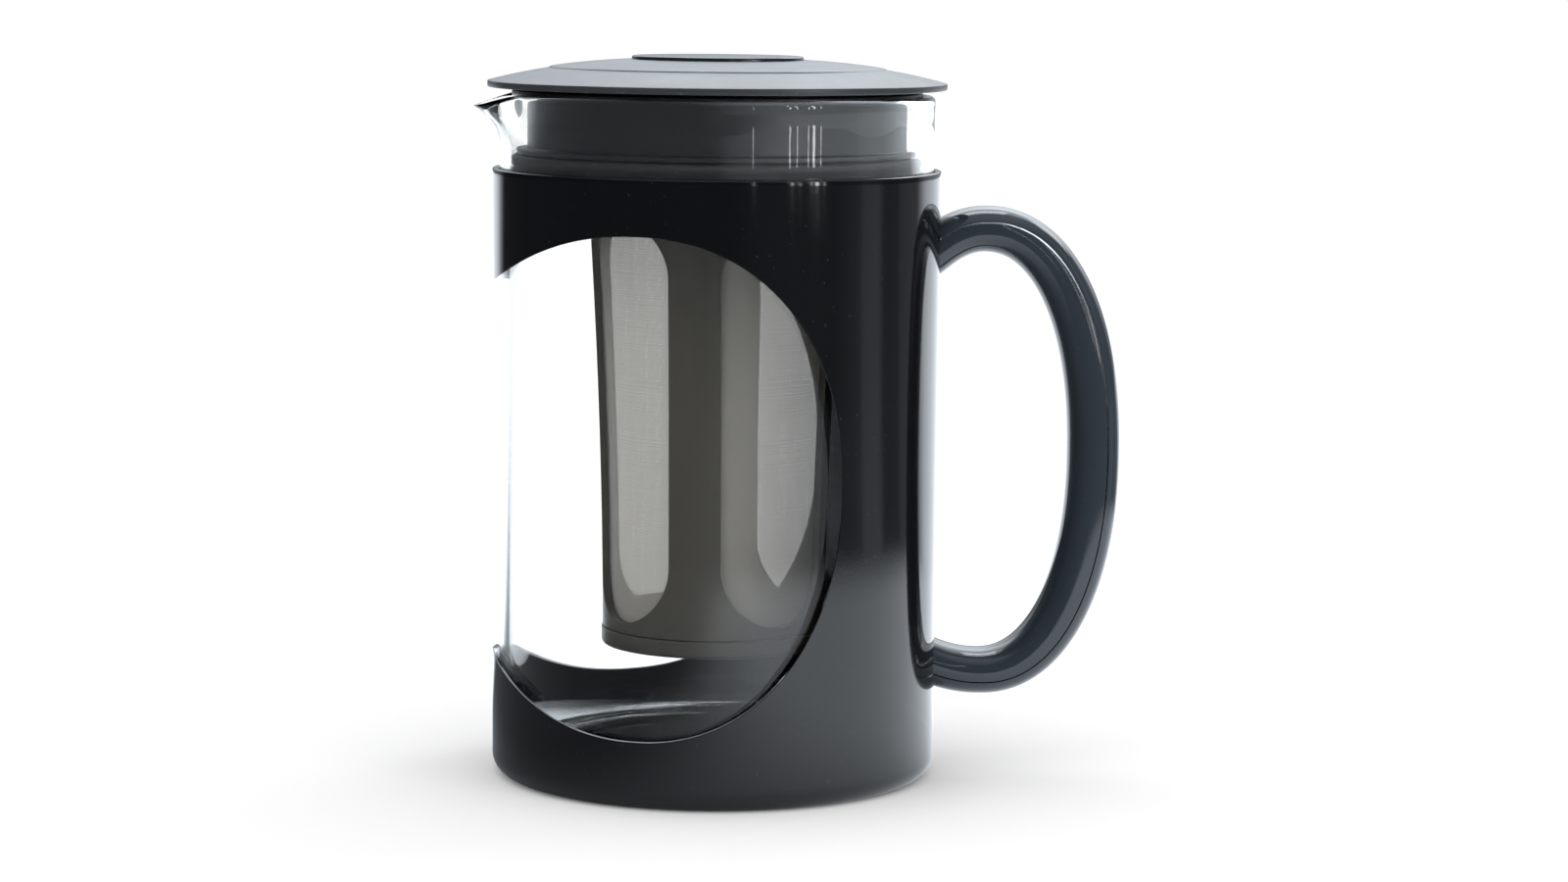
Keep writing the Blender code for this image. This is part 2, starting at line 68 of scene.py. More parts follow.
turn = Matrix((right, up, back)).transposed().to_4x4() @ Matrix.Rotation(CAMERA_ROLL, 4, "Z")
camera.matrix_world = Matrix.Translation(aim + back * CAMERA_DISTANCE) @ turn
bpy.context.scene.camera = camera
bpy.context.scene.view_settings.view_transform = "Standard"

# Light crosses many glass faces on its way through the jug. Reflections cast no spots of light.
bpy.context.scene.cycles.max_bounces = 24
bpy.context.scene.cycles.glossy_bounces = 12
bpy.context.scene.cycles.transmission_bounces = 20
bpy.context.scene.cycles.caustics_reflective = False


# ---- Studio ----
# White paper all round, with soft boxes that draw the long highlights on the gloss plastic.
# Only reflections see the dim room beside the lit sweep, the box overhead and the skylight.
class Wire:
    """A node's output that reads as a number in Python sums."""

    def __init__(self, sheet, socket):
        self.sheet = sheet
        self.socket = socket

    def __add__(self, other):
        return self.sheet.sum("ADD", self, other)

    def __sub__(self, other):
        return self.sheet.sum("SUBTRACT", self, other)

    def __rsub__(self, other):
        return self.sheet.sum("SUBTRACT", other, self)

    def __mul__(self, other):
        return self.sheet.sum("MULTIPLY", self, other)

    def __pow__(self, other):
        return self.sheet.sum("POWER", self, other)

    __radd__ = __add__
    __rmul__ = __mul__


class Sheet:
    """A node tree that nodes are added to one call at a time."""

    def __init__(self, tree):
        self.tree = tree

    def node(self, kind, settings=None, sockets=None, output=0):
        """Add a node: its settings first, then the values or links of its sockets."""
        node = self.tree.nodes.new(kind)
        for name, value in (settings or {}).items():
            setattr(node, name, value)
        for name, value in (sockets or {}).items():
            if isinstance(value, Wire):
                self.tree.links.new(value.socket, node.inputs[name])
            else:
                node.inputs[name].default_value = value
        return Wire(self, node.outputs[output])

    def sum(self, operation, first, second):
        """The result of one arithmetic step on wires or numbers."""
        return self.node("ShaderNodeMath", {"operation": operation}, {0: first, 1: second})

    def ramp(self, value, low, high):
        """Map a value from low..high smoothly to 0..1."""
        return self.node("ShaderNodeMapRange", {"interpolation_type": "SMOOTHSTEP"},
                         {"Value": value, "From Min": low, "From Max": high})

    def link(self, wire, socket):
        self.tree.links.new(wire.socket, socket)


world = bpy.data.worlds.new("white_room")
bpy.context.scene.world = world
world.use_nodes = True
sky = Sheet(world.node_tree)
backdrop = world.node_tree.nodes["Background"]


def mirrored_ray(sheet):
    """One where a ray has bounced off something glossy, and nought where it looks straight on."""
    bounces = sheet.node("ShaderNodeLightPath", output="Glossy Depth")
    diffuse = sheet.node("ShaderNodeLightPath", output="Is Diffuse Ray")
    return sheet.sum("MINIMUM", bounces, 1.0) * (1.0 - diffuse)


def through_glass(sheet):
    """One where a ray has passed through glass."""
    return sheet.sum("MINIMUM", sheet.node("ShaderNodeLightPath", output="Transmission Depth"), 1.0)


def within(sheet, value, low, high, edge):
    """One inside a range, with soft edges."""
    return sheet.ramp(value, low - edge, low + edge) * (1.0 - sheet.ramp(value, high - edge, high + edge))


def span(sheet, value, low, high, edge):
    """One inside a range of degrees, with soft edges."""
    return within(sheet, value, math.radians(low), math.radians(high), math.radians(edge))


def cooled(sheet, level, mirrored):
    """A level as a colour, a little cooler where a reflection meets it."""
    red, green, blue = (level * (1.0 + shift * mirrored) for shift in (-0.09, -0.025, 0.04))
    return sheet.node("ShaderNodeCombineColor", None, {0: red, 1: green, 2: blue})


# Bearings run in degrees from straight behind towards the right. A panel is the bearings it
# spans, the softness of its edges and the glow that it adds to the room or takes away.
SWEEP_SPAN, SWEEP_GLOW, SWEEP_GAIN = (-34, 55, 8), 1.75, 0.15
ROOM_GLOW = 0.03
ROOM_PANELS = ((50, 112, 12, 0.24), (112, 165, 14, 0.07), (91, 104, 2, 0.25), (76, 89, 1.5, -0.12))


def studio(sheet, x, y):
    """Glow that reflections meet in a direction, or painted light laid on the paper at a bearing: the lit
    sweep behind, and a dim room to the right.
    """
    bearing = sheet.sum("ARCTAN2", x, y)
    sweep = span(sheet, bearing, *SWEEP_SPAN) * (SWEEP_GLOW + SWEEP_GAIN * sheet.ramp(bearing, -0.10, 0.20))
    room = ROOM_GLOW
    for low, high, edge, glow in ROOM_PANELS:
        room = room + glow * span(sheet, bearing, low, high, edge)
    return sheet.sum("MAXIMUM", sweep, room)


OVERHEAD_GLOW, SKYLIGHT_GLOW = 2.2, 9.0
BACKDROP_GLOW, BACKDROP_THROUGH_GLASS = 1.04, 0.20
heading = sky.node("ShaderNodeTexCoord", output="Generated")
east, north, rise = (sky.node("ShaderNodeSeparateXYZ", None, {0: heading}, output=axis) for axis in "XYZ")
bearing = sky.sum("ARCTAN2", east, north)
lift = (0.25 + 0.9 * sky.ramp(rise, 0.03, 0.35)) * (0.7 + 0.4 * sky.ramp(bearing, -0.3, 0.3))
glow = studio(sky, east, north) * lift * (1.0 - sky.ramp(rise, 0.55, 0.85)) + sky.ramp(rise, 0.60, 0.95)
overhead = sky.ramp(rise, 0.38, 0.55) * (1.0 - sky.ramp(rise, 0.84, 0.93))
glow = glow + OVERHEAD_GLOW * overhead * span(sky, bearing, -40, 50, 12)
skylight = within(sky, north, 0.29, 0.37, 0.015) + within(sky, north, 0.43, 0.53, 0.015)
glow = glow + SKYLIGHT_GLOW * skylight * within(sky, east, -0.22, 0.26, 0.03) * sky.ramp(rise, 0.7, 0.8)
glow = sky.sum("MAXIMUM", glow, through_glass(sky) * (0.20 + 1.5 * sky.ramp(east, 0.1, 0.95)))
straight = BACKDROP_GLOW + through_glass(sky) * BACKDROP_THROUGH_GLASS
room_level = glow * mirrored_ray(sky) + (1.0 - mirrored_ray(sky)) * straight
sky.link(cooled(sky, room_level, mirrored_ray(sky)), backdrop.inputs["Color"])

FLOOR_HALF = 4.0
PAPER_WHITE = 0.96
NEAR_START, NEAR_END = 0.36, 0.52
floor_mesh = bpy.data.meshes.new("table")
floor_mesh.from_pydata([(-FLOOR_HALF, -FLOOR_HALF, 0), (FLOOR_HALF, -FLOOR_HALF, 0),
                        (FLOOR_HALF, FLOOR_HALF, 0), (-FLOOR_HALF, FLOOR_HALF, 0)], [], [(0, 1, 2, 3)])
floor = bpy.data.objects.new("table", floor_mesh)
bpy.context.scene.collection.objects.link(floor)
paper = bpy.data.materials.new("white_paper_painted_glow")
paper.use_nodes = True
table = Sheet(paper.node_tree)
paper_shader = paper.node_tree.nodes["Principled BSDF"]
paper_shader.inputs["Roughness"].default_value = 0.9
paper_shader.inputs["Specular IOR Level"].default_value = 0.0
paper_shader.inputs["Emission Strength"].default_value = 1.0
# Painted light on the paper, which only reflections see: a pool round the jug that is brightest on the
# right, and the sweep's glow laid out by bearing. Seen through the glass the paper is painted a little
# brighter; straight on it is plain white.
place = table.node("ShaderNodeTexCoord", output="Object")
east, north = (table.node("ShaderNodeSeparateXYZ", None, {0: place}, output=axis) for axis in "XY")
reach = table.node("ShaderNodeVectorMath", {"operation": "LENGTH"}, {0: place}, output="Value")
near = 1.0 - table.ramp(reach, NEAR_START, NEAR_END)
side = table.ramp(east, -0.12, 0.16)
glow = table.sum("MAXIMUM", near * (0.15 + 1.85 * side), studio(table, east, north))
glow = table.sum("MAXIMUM", glow, through_glass(table) * (0.20 + 0.60 * table.ramp(east, -0.2, 0.5)))
mirrored = mirrored_ray(table)
level = PAPER_WHITE * (1.0 - mirrored * (1.0 - table.sum("MINIMUM", glow, 1.0)))
glow = (mirrored * table.sum("MAXIMUM", glow - 1.0, 0.0)
        + (1.0 - mirrored) * (0.05 + 0.12 * through_glass(table)))
table.link(cooled(table, level, mirrored), paper_shader.inputs["Base Color"])
table.link(cooled(table, glow, mirrored), paper_shader.inputs["Emission Color"])
floor_mesh.materials.append(paper)


def soft_box(name, place, target, size, radiance):
    """A rectangular light whose face glows at a set radiance and faces a target."""
    light = bpy.data.lights.new(name, "AREA")
    light.shape = "RECTANGLE"
    light.size, light.size_y = size
    light.energy = radiance * math.pi * size[0] * size[1]
    lamp = bpy.data.objects.new(name, light)
    lamp.location = place
    lamp.rotation_euler = (Vector(target) - Vector(place)).to_track_quat("-Z", "Y").to_euler()
    lamp.visible_camera = False
    lamp.visible_transmission = False
    bpy.context.scene.collection.objects.link(lamp)


# Each strip is its angle in degrees to the right of the camera's side, its width in
# millimetres and its radiance. All of them stand upright in one circle round the jug.
STRIPS = ((19, 9, 7), (38, 14, 12), (42, 9, 11), (48, 10, 12), (51, 22, 18), (55, 9, 12))
STRIP_ZERO, STRIP_DISTANCE, STRIP_HEIGHT, STRIP_LENGTH = -2.7, 0.95, 0.37, 0.50
for strip_angle, width, radiance in STRIPS:
    angle = math.radians(strip_angle + STRIP_ZERO)
    spot = (STRIP_DISTANCE * math.sin(angle), -STRIP_DISTANCE * math.cos(angle), STRIP_HEIGHT)
    soft_box("strip_%d" % strip_angle, spot, (0.0, 0.0, STRIP_HEIGHT), (width * MM, STRIP_LENGTH), radiance)
soft_box("key_box", (1.0, 0.7, 1.0), (0.0, 0.0, 0.1), (0.5, 0.5), 3.0)


# ---- Sleeve ----
# The injection-moulded cup that the glass stands in: gloss black, 1.7 mm thick, with one
# window cut straight through from front to back that opens the whole lip side.
SLEEVE_TOP_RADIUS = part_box("sleeve")[1][0]
SLEEVE_FOOT_RADIUS = SLEEVE_TOP_RADIUS - 0.2 * MM
SLEEVE_WALL = 1.7 * MM
SLEEVE_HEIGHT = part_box("sleeve")[1][2]
FOOT_ROUND = 5.2 * MM
INNER_ROUND = 10.0 * MM
SLEEVE_FLOOR = 4.0 * MM
WINDOW_X, WINDOW_Z = -22.7 * MM, 83.2 * MM
WINDOW_HALF_WIDTH, WINDOW_HALF_HEIGHT = 54.1 * MM, 65.2 * MM
WINDOW_POWER = 2.18
WELD = 0.002 * MM


def around(radius, turn, height):
    """A point on a cylinder. Turn 0 is the lip side and a quarter turn is the front."""
    return Vector((-radius * math.cos(turn), -radius * math.sin(turn), height))


def squared(angle, half_width, half_height, power):
    """The point of a squared ellipse at an angle."""
    across = math.copysign(abs(math.cos(angle)) ** (2 / power), math.cos(angle))
    tall = math.copysign(abs(math.sin(angle)) ** (2 / power), math.sin(angle))
    return half_width * across, half_height * tall


def closed_loop(half):
    """Mirror a half outline, given from top to bottom of its middle line, into a whole one."""
    return half + [(-turn, height) for turn, height in reversed(half[1:-1])]


def frame_loop(half_turn, low, high, across, tall):
    """The rectangle round a window, with steps along its top, its side and its bottom."""
    half = [(half_turn * step / across, high) for step in range(across)]
    half += [(half_turn, high + (low - high) * step / tall) for step in range(tall)]
    half += [(half_turn * (1 - step / across), low) for step in range(across + 1)]
    return closed_loop(half)


def between(first, last, rows):
    """Loops that blend one outline into another."""
    loops = []
    for row in range(rows + 1):
        share = row / rows
        loops.append([(a[0] + (b[0] - a[0]) * share, a[1] + (b[1] - a[1]) * share)
                      for a, b in zip(first, last)])
    return loops


def skin(shape, loops, closed=True):
    """Lay quads between each loop of points and the next."""
    rows = [[shape.verts.new(point) for point in loop] for loop in loops]
    for row, following in zip(rows, rows[1:]):
        last = len(row) if closed else len(row) - 1
        for index in range(last):
            after = (index + 1) % len(row)
            shape.faces.new((row[index], row[after], following[after], following[index]))
    return rows


def settle(name, shape, sharp=50):
    """Weld a shape, turn its faces out and make it a smooth object at the origin."""
    bmesh.ops.remove_doubles(shape, verts=shape.verts, dist=WELD)
    bmesh.ops.recalc_face_normals(shape, faces=shape.faces)
    mesh = bpy.data.meshes.new(name)
    shape.to_mesh(mesh)
    shape.free()
    mesh.shade_smooth()
    mesh.set_sharp_from_angle(angle=math.radians(sharp))
    piece = bpy.data.objects.new(name, mesh)
    bpy.context.scene.collection.objects.link(piece)
    return piece


def soften(piece, width, segments=3, angle=50):
    """Round a piece's sharp edges as a mould leaves them, and keep the result as a plain mesh."""
    bevel = piece.modifiers.new("edge_round", "BEVEL")
    bevel.width = width
    bevel.segments = segments
    bevel.limit_method = "ANGLE"
    bevel.angle_limit = math.radians(angle)
    bevel.harden_normals = True
    bake_modifiers(piece)


def bake_modifiers(piece):
    """Turn a piece and its modifiers into a plain mesh."""
    evaluated = piece.evaluated_get(bpy.context.evaluated_depsgraph_get())
    mesh = bpy.data.meshes.new_from_object(evaluated)
    mesh.name = piece.name
    piece.modifiers.clear()
    piece.data = mesh


def sleeve_window(radius, steps):
    """The window's outline where the straight cut meets a cylinder, as turns and heights."""
    edge = (radius + WINDOW_X) / WINDOW_HALF_WIDTH
    start = math.pi - math.acos(min(edge, 1.0) ** (WINDOW_POWER / 2))
    half = []
    for step in range(steps + 1):
        x, z = squared(start * (1 - 2 * step / steps), WINDOW_HALF_WIDTH, WINDOW_HALF_HEIGHT, WINDOW_POWER)
        half.append((math.acos(max(-1.0, min(1.0, -(WINDOW_X + x) / radius))), WINDOW_Z + z))
    return closed_loop(half)


def quarter(centre_radius, centre_height, size, start, end, steps):
    """Points (radius, height) on an arc, with its angles in degrees."""
    angles = [math.radians(start + (end - start) * step / steps) for step in range(steps + 1)]
    return [(centre_radius + size * math.cos(a), centre_height + size * math.sin(a)) for a in angles]


ACROSS, TALL, WALL_ROWS = 96, 72, 18
sleeve_shape = bmesh.new()
rim_round = 0.45 * MM
inner_radius = SLEEVE_TOP_RADIUS - SLEEVE_WALL
rectangle = frame_loop(math.pi, 0.0, 1.0, ACROSS, TALL)
window_steps = len(rectangle) // 2
inside_top = SLEEVE_HEIGHT - rim_round
for radius_top, radius_foot, low in ((SLEEVE_TOP_RADIUS, SLEEVE_FOOT_RADIUS, FOOT_ROUND),
                                     (inner_radius, inner_radius, SLEEVE_FLOOR + INNER_ROUND)):
    frame_points = [(turn, low + (inside_top - low) * share) for turn, share in rectangle]
    loops = between(sleeve_window(radius_top, window_steps), frame_points, WALL_ROWS)
    taper = (radius_top - radius_foot) / (inside_top - low)
    skin(sleeve_shape, [[around(radius_top - taper * (inside_top - height), turn, height)
                         for turn, height in loop] for loop in loops])
sleeve_shape.verts.ensure_lookup_table()
count = len(rectangle)
outer_row = sleeve_shape.verts[0:count]
inner_row = sleeve_shape.verts[count * (WALL_ROWS + 1):count * (WALL_ROWS + 2)]
for index in range(count):
    after = (index + 1) % count
    sleeve_shape.faces.new((outer_row[index], outer_row[after], inner_row[after], inner_row[index]))
turns = [math.pi * step / ACROSS for step in range(2 * ACROSS)]
rim = quarter(SLEEVE_TOP_RADIUS - rim_round, SLEEVE_HEIGHT - rim_round, rim_round, 0, 90, 4)
rim += quarter(inner_radius + rim_round, SLEEVE_HEIGHT - rim_round, rim_round, 90, 180, 4)
skin(sleeve_shape, [[around(radius, turn, height) for turn in turns] for radius, height in rim])
foot = quarter(SLEEVE_FOOT_RADIUS - FOOT_ROUND, FOOT_ROUND, FOOT_ROUND, 0, -90, 8)
foot += [(51.0 * MM, 0.0), (50.4 * MM, 0.2 * MM), (50.0 * MM, 0.9 * MM), (49.4 * MM, 1.1 * MM)]
foot += [(30.0 * MM, 1.1 * MM), (5.0 * MM, 1.1 * MM), (4.4 * MM, 0.8 * MM), (0.4 * MM, 0.8 * MM)]
skin(sleeve_shape, [[around(radius, turn, height) for turn in turns] for radius, height in foot])
well = quarter(inner_radius - INNER_ROUND, SLEEVE_FLOOR + INNER_ROUND, INNER_ROUND, 0, -90, 8)
well += [(20.0 * MM, SLEEVE_FLOOR), (0.4 * MM, SLEEVE_FLOOR)]
skin(sleeve_shape, [[around(radius, turn, height) for turn in turns] for radius, height in well])
bmesh.ops.remove_doubles(sleeve_shape, verts=sleeve_shape.verts, dist=WELD)
bmesh.ops.holes_fill(sleeve_shape, edges=sleeve_shape.edges, sides=2 * ACROSS)
sleeve = settle("sleeve_shell", sleeve_shape)
soften(sleeve, 0.42 * MM)


class Finish(Sheet):
    """One material. Values that are the same all over go straight on the Principled shader."""

    def __init__(self, name, **values):
        self.material = bpy.data.materials.new(name)
        self.material.use_nodes = True
        super().__init__(self.material.node_tree)
        self.shader = self.tree.nodes["Principled BSDF"]
        for socket, value in values.items():
            self.shader.inputs[socket.replace("_", " ")].default_value = value
        self.place = self.node("ShaderNodeTexCoord", output="Object")

    def noise(self, scale, detail=2.0, roughness=0.5, place=None):
        """Even noise of a number of features to the metre."""
        return self.node("ShaderNodeTexNoise", None, {"Vector": place or self.place, "Scale": scale,
                                                      "Detail": detail, "Roughness": roughness})

    def stretched(self, x, y, z):
        """The piece's coordinates, scaled along each axis."""
        return self.node("ShaderNodeMapping", None, {"Vector": self.place, "Scale": (x, y, z)})

    def blend(self, share, low, high):
        """Mix two colours, where either may be a wire."""
        low = low if isinstance(low, Wire) else (*low, 1.0)
        high = high if isinstance(high, Wire) else (*high, 1.0)
        return self.node("ShaderNodeMix", {"data_type": "RGBA"}, {0: share, 6: low, 7: high}, output=2)

    def bump(self, height, strength, distance):
        """Feed the surface normal with a height."""
        normal = self.node("ShaderNodeBump", None, {"Height": height, "Strength": strength,
                                                    "Distance": distance})
        self.link(normal, self.shader.inputs["Normal"])

    def wear(self, piece):
        """Put the finish on a piece."""
        piece.data.materials.clear()
        piece.data.materials.append(self.material)


PLASTIC_IOR = 1.49
SMUDGES_PER_METRE, DUST_PER_METRE = 26.0, 900.0
DUST_COLOUR = (0.30, 0.30, 0.31)


def shaded(colour, share):
    """A colour made lighter or darker."""
    return [part * share for part in colour]


def gloss_plastic(name, colour, roughness, specular=0.5, streak=0.15):
    """Polished moulded plastic: faint flow streaks, hand smudges, dust and a trace of ripple."""
    finish = Finish(name, Specular_IOR_Level=specular, IOR=PLASTIC_IOR)
    smudge = finish.ramp(finish.noise(SMUDGES_PER_METRE, 4.0, 0.6), 0.45, 0.72)
    flow = finish.noise(1.0, 3.0, 0.55, finish.stretched(55.0, 55.0, 9.0))
    dust = finish.ramp(finish.noise(DUST_PER_METRE, 1.0), 0.72, 0.80)
    tone = finish.blend(flow, shaded(colour, 1 - streak), shaded(colour, 1 + streak))
    tone = finish.blend(dust * 0.05, tone, DUST_COLOUR)
    finish.link(tone, finish.shader.inputs["Base Color"])
    finish.link(roughness + smudge * 0.05 + dust * 0.12, finish.shader.inputs["Roughness"])
    ripple = finish.noise(120.0, 2.0) * 0.7 + finish.noise(1400.0, 2.0) * 0.3
    finish.bump(ripple, 0.10, 0.00012)
    return finish


gloss_plastic("sleeve_gloss_black", (0.0038, 0.0043, 0.0053), 0.07).wear(sleeve)
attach(sleeve, "holder")
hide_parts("sleeve")


# ---- Handle ----
# A bow moulded in two pieces: the grip, and the strip that closes its outer side, which
# leaves the fine seam along the handle. Both ends run just into the sleeve's wall.
HANDLE_X, HANDLE_Z = 72.0 * MM, 87.35 * MM
HANDLE_REACH, HANDLE_HALF_HEIGHT = 30.4 * MM, 60.05 * MM
HANDLE_POWER = 2.2
HANDLE_END_X = 58.75 * MM
TOP_DROOP, BASE_RISE = 31.5, 14.9
ROOT_DEPTH, GRIP_SWELL = 12.4 * MM, 1.9 * MM
HANDLE_WIDTH = 18.0 * MM
SECTION_POWER = 2.3
COVER_DEPTH = 4.2 * MM
SEAM = 0.3 * MM


def handle_stations(root_steps=10, bow_steps=110):
    """Centre, outward direction and depth of each section, from the upper root to the lower."""
    places = []
    for step in range(root_steps):
        x = HANDLE_END_X + (HANDLE_X - HANDLE_END_X) * step / root_steps
        places.append((x, HANDLE_Z + HANDLE_HALF_HEIGHT - TOP_DROOP * (HANDLE_X - x) ** 2, ROOT_DEPTH))
    for step in range(bow_steps + 1):
        angle = math.pi * (0.5 - step / bow_steps)
        x, z = squared(angle, HANDLE_REACH, HANDLE_HALF_HEIGHT, HANDLE_POWER)
        places.append((HANDLE_X + x, HANDLE_Z + z, ROOT_DEPTH + GRIP_SWELL * math.cos(angle)))
    for step in range(1, root_steps + 1):
        x = HANDLE_X - (HANDLE_X - HANDLE_END_X) * step / root_steps
        places.append((x, HANDLE_Z - HANDLE_HALF_HEIGHT + BASE_RISE * (HANDLE_X - x) ** 2, ROOT_DEPTH))
    stations = []
    for index, (x, z, depth) in enumerate(places):
        before, after = places[max(index - 1, 0)], places[min(index + 1, len(places) - 1)]
        along = Vector((after[0] - before[0], 0.0, after[1] - before[1])).normalized()
        outward = Vector((-along.z, 0.0, along.x))
        if index in (0, len(places) - 1):
            outward = Vector((0.0, 0.0, 1.0 if index == 0 else -1.0)) / abs(along.x)
        stations.append((Vector((x, 0.0, z)), outward, depth))
    return stations


def handle_section(centre, outward, depth, cover, steps=22):
    """One closed section: the outer strip, or the grip under it."""
    split = depth / 2 - COVER_DEPTH + (SEAM if cover else 0.0)
    corner = math.acos((2 * split / depth) ** (SECTION_POWER / 2))
    start, end = (-corner, corner) if cover else (corner, 2 * math.pi - corner)
    steps = steps if cover else 2 * steps
    section = []
    for step in range(steps + 1):
        angle = start + (end - start) * step / steps
        out, side = squared(angle, depth / 2, HANDLE_WIDTH / 2, SECTION_POWER)
        section.append(centre + outward * out + Vector((0.0, side, 0.0)))
    return section


handle_gloss = gloss_plastic("handle_gloss_navy", (0.028, 0.036, 0.046), 0.05, 0.42)
for node, cover in (("handle_grip", False), ("handle_cover", True)):
    shape = bmesh.new()
    rows = skin(shape, [handle_section(*station, cover) for station in handle_stations()])
    shape.faces.new(rows[0])
    shape.faces.new(rows[-1])
    bow = settle(node + "_bow", shape)
    soften(bow, 0.35 * MM, 2, 40)
    handle_gloss.wear(bow)
    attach(bow, "holder")
    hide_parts(node)


# ---- Glass jug ----
# A straight borosilicate beaker with a fire-polished rim and a small lip drawn out by hand.
# The base is a little hollow on both sides, so the jug stands on a ring.
GLASS_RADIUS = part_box("glass_carafe")[1][0]
GLASS_WALL = 2.6 * MM
GLASS_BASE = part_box("glass_carafe")[0][2]
GLASS_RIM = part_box("glass_carafe")[1][2]
GLASS_FLOOR = 7.3 * MM
LIP_START = 168.0 * MM
LIP_REACH, LIP_DIP, LIP_THINNING = 7.45 * MM, 3.6 * MM, 1.5 * MM
LIP_HALF_ANGLE = math.radians(26)


def turned(name, corners, steps=192, ring=False, sharp=50, bend=4):
    """Spin a profile of (radius, height, rounding) corners about the jug's axis."""
    count = len(corners)
    points = []
    for index, (radius, height, rounding) in enumerate(corners):
        here = Vector((radius, height))
        ends = not ring and index in (0, count - 1)
        if rounding == 0.0 or ends:
            points.append(here)
            continue
        before = Vector(corners[index - 1][:2]) - here
        after = Vector(corners[(index + 1) % count][:2]) - here
        reach = min(rounding, before.length * 0.49, after.length * 0.49)
        start, end = here + before.normalized() * reach, here + after.normalized() * reach
        for step in range(bend + 1):
            share = step / bend
            points.append(start * (1 - share) ** 2 + here * 2 * share * (1 - share) + end * share ** 2)
    shape = bmesh.new()
    verts = [shape.verts.new((point.x, 0.0, point.y)) for point in points]
    edges = [shape.edges.new(pair) for pair in zip(verts, verts[1:])]
    if ring:
        edges.append(shape.edges.new((verts[-1], verts[0])))
    bmesh.ops.spin(shape, geom=verts + edges, cent=(0, 0, 0), axis=(0, 0, 1),
                   angle=2 * math.pi, steps=steps, use_merge=True)
    return settle(name, shape, sharp)


def rounded(*arc):
    """An arc of a profile, whose points need no more rounding."""
    return [(radius, height, 0.0) for radius, height in quarter(*arc)]


GLASS_CORNER, FLOOR_CORNER, RIM_ROUND = 12.0 * MM, 9.5 * MM, 1.45 * MM
glass_inner = GLASS_RADIUS - GLASS_WALL
profile = [(0.0, GLASS_BASE + 0.3 * MM, 0.0), (20.0 * MM, GLASS_BASE + 0.5 * MM, 0.0)]
profile += [(38.0 * MM, GLASS_BASE + 0.8 * MM, 2.0 * MM)]
profile += rounded(GLASS_RADIUS - GLASS_CORNER, GLASS_BASE + GLASS_CORNER, GLASS_CORNER, -90, 0, 14)
rises = [40, 70, 100, 130, 155] + list(range(160, 180, 2))
profile += [(GLASS_RADIUS, height * MM, 0.0) for height in rises]
profile += [(GLASS_RADIUS + 0.15 * MM, 181.0 * MM, 0.0)]
profile += rounded(GLASS_RADIUS - GLASS_WALL / 2, GLASS_RIM - RIM_ROUND, RIM_ROUND, 0, 180, 12)
profile += [(glass_inner, height * MM, 0.0) for height in reversed(rises)]
profile += rounded(glass_inner - FLOOR_CORNER, GLASS_FLOOR + FLOOR_CORNER, FLOOR_CORNER, 0, -90, 12)
profile += [(34.0 * MM, GLASS_FLOOR - 0.3 * MM, 0.0), (22.0 * MM, GLASS_FLOOR - 0.5 * MM, 0.0),
            (0.0, GLASS_FLOOR - 0.6 * MM, 0.0)]
jug = turned("glass_jug", profile, 224)
for point in jug.data.vertices:
    turn_share = abs(math.atan2(point.co.y, -point.co.x)) / LIP_HALF_ANGLE
    rise = (point.co.z - LIP_START) / (GLASS_RIM - LIP_START)
    if turn_share < 1 and rise > 0:
        spread = (0.5 + 0.5 * math.cos(math.pi * turn_share)) * rise ** 2
        across = Vector((point.co.x, point.co.y, 0.0))
        depth = min(max(GLASS_RADIUS - across.length, 0.0) / GLASS_WALL, 1.0)
        point.co += across.normalized() * (LIP_REACH + LIP_THINNING * depth) * spread
        point.co.z -= LIP_DIP * spread
glass = Finish("clear_borosilicate", Base_Color=(0.985, 0.995, 0.992, 1.0), Transmission_Weight=1.0,
               IOR=1.45, Specular_Tint=(0.75, 0.75, 0.75, 1.0))
film = glass.ramp(glass.noise(22.0, 4.0, 0.6), 0.52, 0.80)
glass.link(film * 0.012, glass.shader.inputs["Roughness"])
draw_lines = glass.noise(1.0, 2.0, 0.5, glass.stretched(60.0, 60.0, 6.0))
glass.bump(draw_lines, 0.05, 0.0002)
SHADOW_PASSED = 0.9
shadow_ray = glass.node("ShaderNodeLightPath", output="Is Shadow Ray")
glass.link(1.0 - SHADOW_PASSED * shadow_ray, glass.shader.inputs["Alpha"])
glass.wear(jug)
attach(jug, "carafe")
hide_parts("glass_carafe")


# ---- Filter frame ----
# The basket's moulded cage: four ribs between a foot ring and a collar that turns into the
# lid's socket. It flares gently upwards, and the fine mesh is moulded to its inner side.
FOOT_RADIUS, FLARE, FLARE_POWER = 30.1 * MM, 4.1 * MM, 1.8
FRAME_LOW, SHOULDER = 40.2 * MM, 153.0 * MM
CAP_TOP = 39.9 * MM
FRAME_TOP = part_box("filter_frame")[1][2]
COLLAR_RADIUS, COLLAR_LOW = 36.5 * MM, 155.2 * MM
FRAME_WALL = 2.0 * MM
RIB_TURN = math.radians(-11.7)
RIB_HALF_WIDTH = 6.95 * MM
SLOT_LOW, SLOT_HIGH, SLOT_END = 43.0 * MM, 152.0 * MM, 16.4 * MM


def basket_radius(height):
    """Outer radius of the basket at a height."""
    rise = max(height - CAP_TOP, 0.0) / (SHOULDER - CAP_TOP)
    return FOOT_RADIUS + FLARE * rise ** FLARE_POWER


